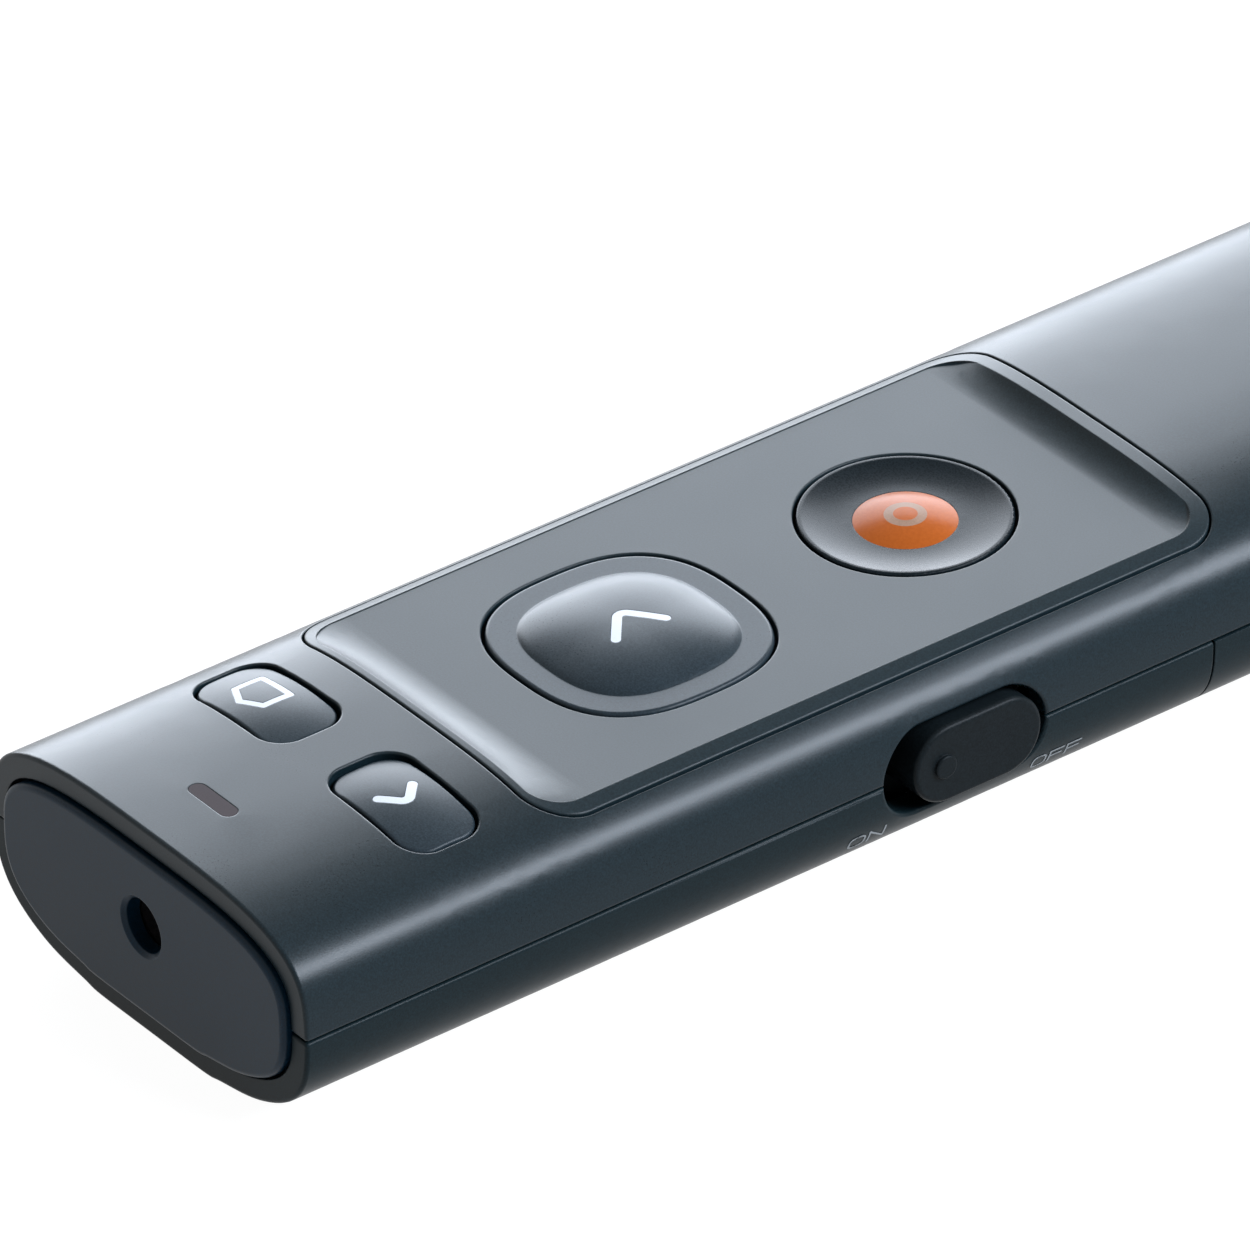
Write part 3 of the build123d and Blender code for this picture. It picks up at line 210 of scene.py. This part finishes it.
def board_laminate(name):
    """Green solder mask over the faint weave of glass cloth, with copper lines under it."""
    shader = Shader(name)
    weave = shader.node("ShaderNodeTexChecker", Vector=shader.place, Scale=2200).outputs["Fac"]
    bands = {"bands_direction": "X"}
    lines = shader.node(
        "ShaderNodeTexWave", bands, Vector=shader.place, Scale=190, Distortion=1.5, Detail=1.0
    ).outputs["Fac"]
    mask = shader.mix(shader.span(weave, 0.0, 0.25), (0.010, 0.070, 0.030, 1), (0.014, 0.095, 0.040, 1))
    traced = shader.mix(shader.span(lines, 0, 0.6, 0.72, 0.78), mask, (0.03, 0.16, 0.06, 1))
    made = shader.principled(Base_Color=traced, Normal=shader.bump(lines, 1.5e-5))
    made.inputs["Roughness"].default_value = 0.32
    return shader.material


# Lengths on the dry cell's jacket, in metres: its copper band, and its bare steel at both ends
COPPER_BAND = 0.0135
BAND_BLUR = 0.0002
BARE_START = 0.0006
BARE_END = 0.0016
BARE_BLUR = 0.0001


def cell_jacket(name):
    """Shrunk sleeve of a dry cell: dark, with a copper band at the positive end, bare ends."""
    shader = Shader(name)
    along = shader.node("ShaderNodeSeparateXYZ", Vector=shader.place).outputs["Y"]
    low, high = piece_span("aaa_cell", 1)
    band = shader.span(along, 0, 1, high - COPPER_BAND, high - COPPER_BAND + BAND_BLUR)
    sleeve = shader.mix(band, (0.012, 0.014, 0.016, 1), (0.55, 0.25, 0.08, 1))
    steel_start = shader.span(along, 1, 0, low + BARE_START, low + BARE_START + BARE_BLUR)
    steel_end = shader.span(along, 0, 1, high - BARE_END, high - BARE_END + BARE_BLUR)
    ends = shader.node("ShaderNodeMath", {"operation": "MAXIMUM"})
    shader.feed(ends.inputs[0], steel_start)
    shader.feed(ends.inputs[1], steel_end)
    tone = shader.mix(ends.outputs[0], sleeve, (0.62, 0.61, 0.58, 1))
    scuff = shader.noise(900, 3.0)
    shader.principled(
        Base_Color=tone,
        Metallic=ends.outputs[0],
        Roughness=shader.span(scuff, 0.22, 0.34, 0.3, 0.7),
        Normal=shader.bump(scuff, 3e-6),
    )
    return shader.material


def piece_span(name, axis):
    """Least and greatest coordinate of a node along one axis, in its own frame."""
    values = [vertex.co[axis] for vertex in nodes[name].data.vertices]
    return min(values), max(values)


def dress(name, material):
    """Give a CAD node a material."""
    slots = nodes[name].data.materials
    slots.clear()
    slots.append(material)


# Width of the burnished edges of mouldings, in metres
EDGE = 0.00012


def dress_all():
    """Give each CAD node the look of its material slot, or its own."""
    slot_looks = {
        "shell": satin_plastic("shell", (0.004, 0.0095, 0.0125, 1), 0.31, ior=1.26, edge=EDGE),
        "cap": satin_plastic("cap", (0.001, 0.010, 0.020, 1), 0.38, ior=1.25, edge=EDGE),
        "panel": satin_plastic("panel", (0.005, 0.011, 0.014, 1), 0.34, ior=1.26, edge=EDGE),
        "button": satin_plastic("button", (0.012, 0.019, 0.024, 1), 0.31, 0.2, 1.2e-6, 1.225, EDGE),
        "slider": satin_plastic("slider", (0.004, 0.006, 0.007, 1), 0.38, ior=1.15, edge=EDGE),
        "legend": satin_plastic("legend", (0.46, 0.48, 0.51, 1), 0.5, 0.03, ior=1.3),
        "orange": satin_plastic("orange", (0.42, 0.085, 0.003, 1), 0.30, 0.06, ior=1.12),
        "inner_plastic": satin_plastic("inner_plastic", (0.012, 0.012, 0.013, 1), 0.5, edge=EDGE),
        "white_nylon": satin_plastic("white_nylon", (0.70, 0.69, 0.64, 1), 0.45, 0.04, edge=EDGE),
        "grip": satin_plastic("grip", (0.014, 0.016, 0.018, 1), 0.4, edge=EDGE),
        # Painted shade: the light guide gets a dark colour and a weak reflection that stand for the shadow
        # in its recessed slot.
        "light_guide": satin_plastic("light_guide", (0.030, 0.022, 0.024, 1), 0.5, 0.05, 1e-6, 1.13),
        "glass": clear("glass", (0.03, 0.02, 0.022, 1), 0.03, 1.52),
        "board": board_laminate("board"),
        "chip": satin_plastic("chip", (0.016, 0.016, 0.017, 1), 0.55, 0.3, 4e-6),
        "ceramic": satin_plastic("ceramic", (0.42, 0.32, 0.22, 1), 0.5, 0.08),
        "brass": metal("brass", (0.80, 0.60, 0.27), 0.26, 1500, 1.5e-6, (1, 0.05, 1)),
        "steel": metal("steel", (0.56, 0.57, 0.58), 0.30, 2500),
        "nickel": metal("nickel", (0.66, 0.63, 0.58), 0.22, 2500, 8e-7),
        "gold": metal("gold", (0.95, 0.70, 0.32), 0.20, 3000, 6e-7),
        "cell": cell_jacket("cell"),
    }
    # Painted shade: the lower shell and battery cover get a darker, less reflective copy of the shell's
    # plastic, so the lower side reads darker than the lit top.
    shaded_lower_shell = satin_plastic("shaded_lower_shell", (0.004, 0.009, 0.011, 1), 0.33, ior=1.17, edge=EDGE)
    own_looks = {
        "laser_window": satin_plastic("dark_window", (0.004, 0.003, 0.003, 1), 0.12, 0.05, 3e-7, 1.25),
        "laser_button_ring": satin_plastic("target_ring", (0.22, 0.13, 0.085, 1), 0.3, 0.05, 1e-6, 1.15),
        "laser_button_dome": lacquer("dome_lacquer", (0.28, 0.063, 0.009, 1)),
        "laser_button": satin_plastic("disc", (0.003, 0.006, 0.008, 1), 0.27, 0.2, 1.2e-6, 1.165, EDGE),
        "bottom_shell": shaded_lower_shell,
        "battery_cover": shaded_lower_shell,
    }
    for part in frame["record"]["subparts"]:
        name = part["node"]
        dress(name, own_looks.get(name, slot_looks[part["material_slot"]]))


# Words beside the power slider, printed on the lower shell's curved side, in metres
BODY_HALF_LENGTH = 0.064
BODY_HALF_WIDTH = 0.015
PARTING_HEIGHT = 0.00745
LOWER_DEPTH = 0.0075
LOWER_EXPONENT = 2.8
INK_LIFT = 2.2e-5
INK_STROKE = 0.00013
STROKE_STEPS = 4
LOOP_STEPS = 32
LOOP_EXPONENT = 3
LETTERS = {
    "N": [[(0, 0), (0, 1), (1, 0), (1, 1)]],
    "F": [[(0, 0), (0, 1), (1, 1)], [(0, 0.52), (0.88, 0.52)]],
}


def letter_lines(letter):
    """Pen strokes of a letter in a unit square."""
    if letter != "O":
        return LETTERS[letter]
    loop = []
    for step in range(LOOP_STEPS + 1):
        turn = 2 * pi * step / LOOP_STEPS
        size = (abs(cos(turn)) ** LOOP_EXPONENT + abs(sin(turn)) ** LOOP_EXPONENT) ** (1 / LOOP_EXPONENT)
        loop.append((0.5 + 0.5 * cos(turn) / size, 0.5 + 0.5 * sin(turn) / size))
    return [loop]


def on_side(y, z):
    """Point just outside the lower shell's +X side."""
    share = (PARTING_HEIGHT - z) / LOWER_DEPTH
    x = BODY_HALF_WIDTH * (1 - share**LOWER_EXPONENT) ** (1 / LOWER_EXPONENT)
    return (x + INK_LIFT, y, z)


def side_word(word, start, base, width, height, gap, material):
    """Word in printed strokes that follow the side's curve, its start behind the front face."""
    points, faces = [], []
    for place, letter in enumerate(word):
        corner = start - BODY_HALF_LENGTH + place * (width + gap)
        for line in letter_lines(letter):
            path = [Vector((corner + u * width, base + v * height)) for u, v in line]
            for first, last in zip(path, path[1:]):
                along = (last - first).normalized() * INK_STROKE / 2
                across = Vector((-along.y, along.x))
                for step in range(STROKE_STEPS):
                    a = first.lerp(last, step / STROKE_STEPS)
                    b = first.lerp(last, (step + 1) / STROKE_STEPS)
                    if step == 0:
                        a -= along
                    if step == STROKE_STEPS - 1:
                        b += along
                    corners = (a - across, b - across, b + across, a + across)
                    faces.append(tuple(range(len(points), len(points) + len(corners))))
                    points.extend(on_side(*spot) for spot in corners)
    mesh = bpy.data.meshes.new("word_" + word.lower())
    mesh.from_pydata(points, [], faces)
    mesh.materials.append(material)
    ink = bpy.data.objects.new(mesh.name, mesh)
    bpy.context.scene.collection.objects.link(ink)
    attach(ink, "root")


def print_words():
    """Print the two words of the power slider, each at its end of the slot."""
    ink = satin_plastic("ink", (0.15, 0.16, 0.165, 1), 0.5, 0.05, 1e-6)
    side_word("ON", 0.0389, 0.0037, 0.00112, 0.00082, 0.00032, ink)
    side_word("OFF", 0.0523, 0.0037, 0.00096, 0.00082, 0.0003, ink)


# Light
LIT_POINT = Vector((0, -0.02, 0.01))
LAMP_DISTANCE = 0.8
SKY_LIGHT = 0.2
SKY_SEEN = 1.0
FLOOR_REACH = 6.0
FLOOR_GLOW = 1.1
FLOOR_GLOW_SHARE = 0.88


def aim(thing, place, target):
    """Put a lamp at a place, its beam towards a target."""
    turn = (place - target).to_track_quat("Z", "Y").to_matrix().to_4x4()
    thing.matrix_world = Matrix.Translation(place) @ turn


def softbox(name, direction, size, radiance, color):
    """Oblong soft lamp in a direction from the object."""
    data = bpy.data.lights.new(name, "AREA")
    data.shape = "RECTANGLE"
    data.size, data.size_y = size
    data.energy = radiance * pi * size[0] * size[1]
    data.color = color
    lamp = bpy.data.objects.new(name, data)
    lamp.visible_camera = False
    aim(lamp, LIT_POINT + Vector(direction).normalized() * LAMP_DISTANCE, LIT_POINT)
    bpy.context.scene.collection.objects.link(lamp)


def seen_rays(tree):
    """1 for camera, glossy and transmission rays, 0 for the rest."""
    path = tree.nodes.new("ShaderNodeLightPath")
    total = path.outputs["Is Camera Ray"]
    for name in ("Is Glossy Ray", "Is Transmission Ray"):
        made = tree.nodes.new("ShaderNodeMath")
        made.operation = "MAXIMUM"
        tree.links.new(total, made.inputs[0])
        tree.links.new(path.outputs[name], made.inputs[1])
        total = made.outputs[0]
    return total


def make_world():
    """White to the eye and in reflections, dimmer as a light."""
    world = bpy.data.worlds.new("world")
    world.use_nodes = True
    bpy.context.scene.world = world
    tree = world.node_tree
    background = tree.nodes["Background"]
    strength = tree.nodes.new("ShaderNodeMapRange")
    tree.links.new(seen_rays(tree), strength.inputs[0])
    strength.inputs[3].default_value = SKY_LIGHT
    strength.inputs[4].default_value = SKY_SEEN
    background.inputs[0].default_value = (1, 1, 1, 1)
    tree.links.new(strength.outputs[0], background.inputs[1])


def make_floor():
    """Wide pale floor that keeps a soft shadow."""
    corners = [(x * FLOOR_REACH, y * FLOOR_REACH, 0) for x, y in ((-1, -1), (1, -1), (1, 1), (-1, 1))]
    mesh = bpy.data.meshes.new("floor")
    mesh.from_pydata(corners, [], [(0, 1, 2, 3)])
    floor = bpy.data.objects.new("floor", mesh)
    bpy.context.scene.collection.objects.link(floor)
    shader = Shader("floor")
    pale = shader.node("ShaderNodeBsdfDiffuse", Color=grey(0.85))
    glow = shader.node("ShaderNodeEmission", Color=grey(1.0), Strength=FLOOR_GLOW)
    share = shader.span(seen_rays(shader.tree), 0.0, FLOOR_GLOW_SHARE)
    both = shader.node("ShaderNodeMixShader")
    shader.feed(both.inputs[0], share)
    shader.feed(both.inputs[1], pale.outputs[0])
    shader.feed(both.inputs[2], glow.outputs[0])
    shader.feed(shader.output, both.outputs[0])
    mesh.materials.append(shader.material)


make_camera()
dress_all()
print_words()
make_world()
make_floor()
softbox("key", (-0.78, 0.504, 0.28), (0.8, 0.58), 10.2, (0.83, 0.90, 1.0))
softbox("rim", (0.60, 0.50, 0.62), (0.7, 0.2), 36.0, (0.80, 0.88, 1.0))

bpy.context.scene.view_settings.view_transform = "Standard"
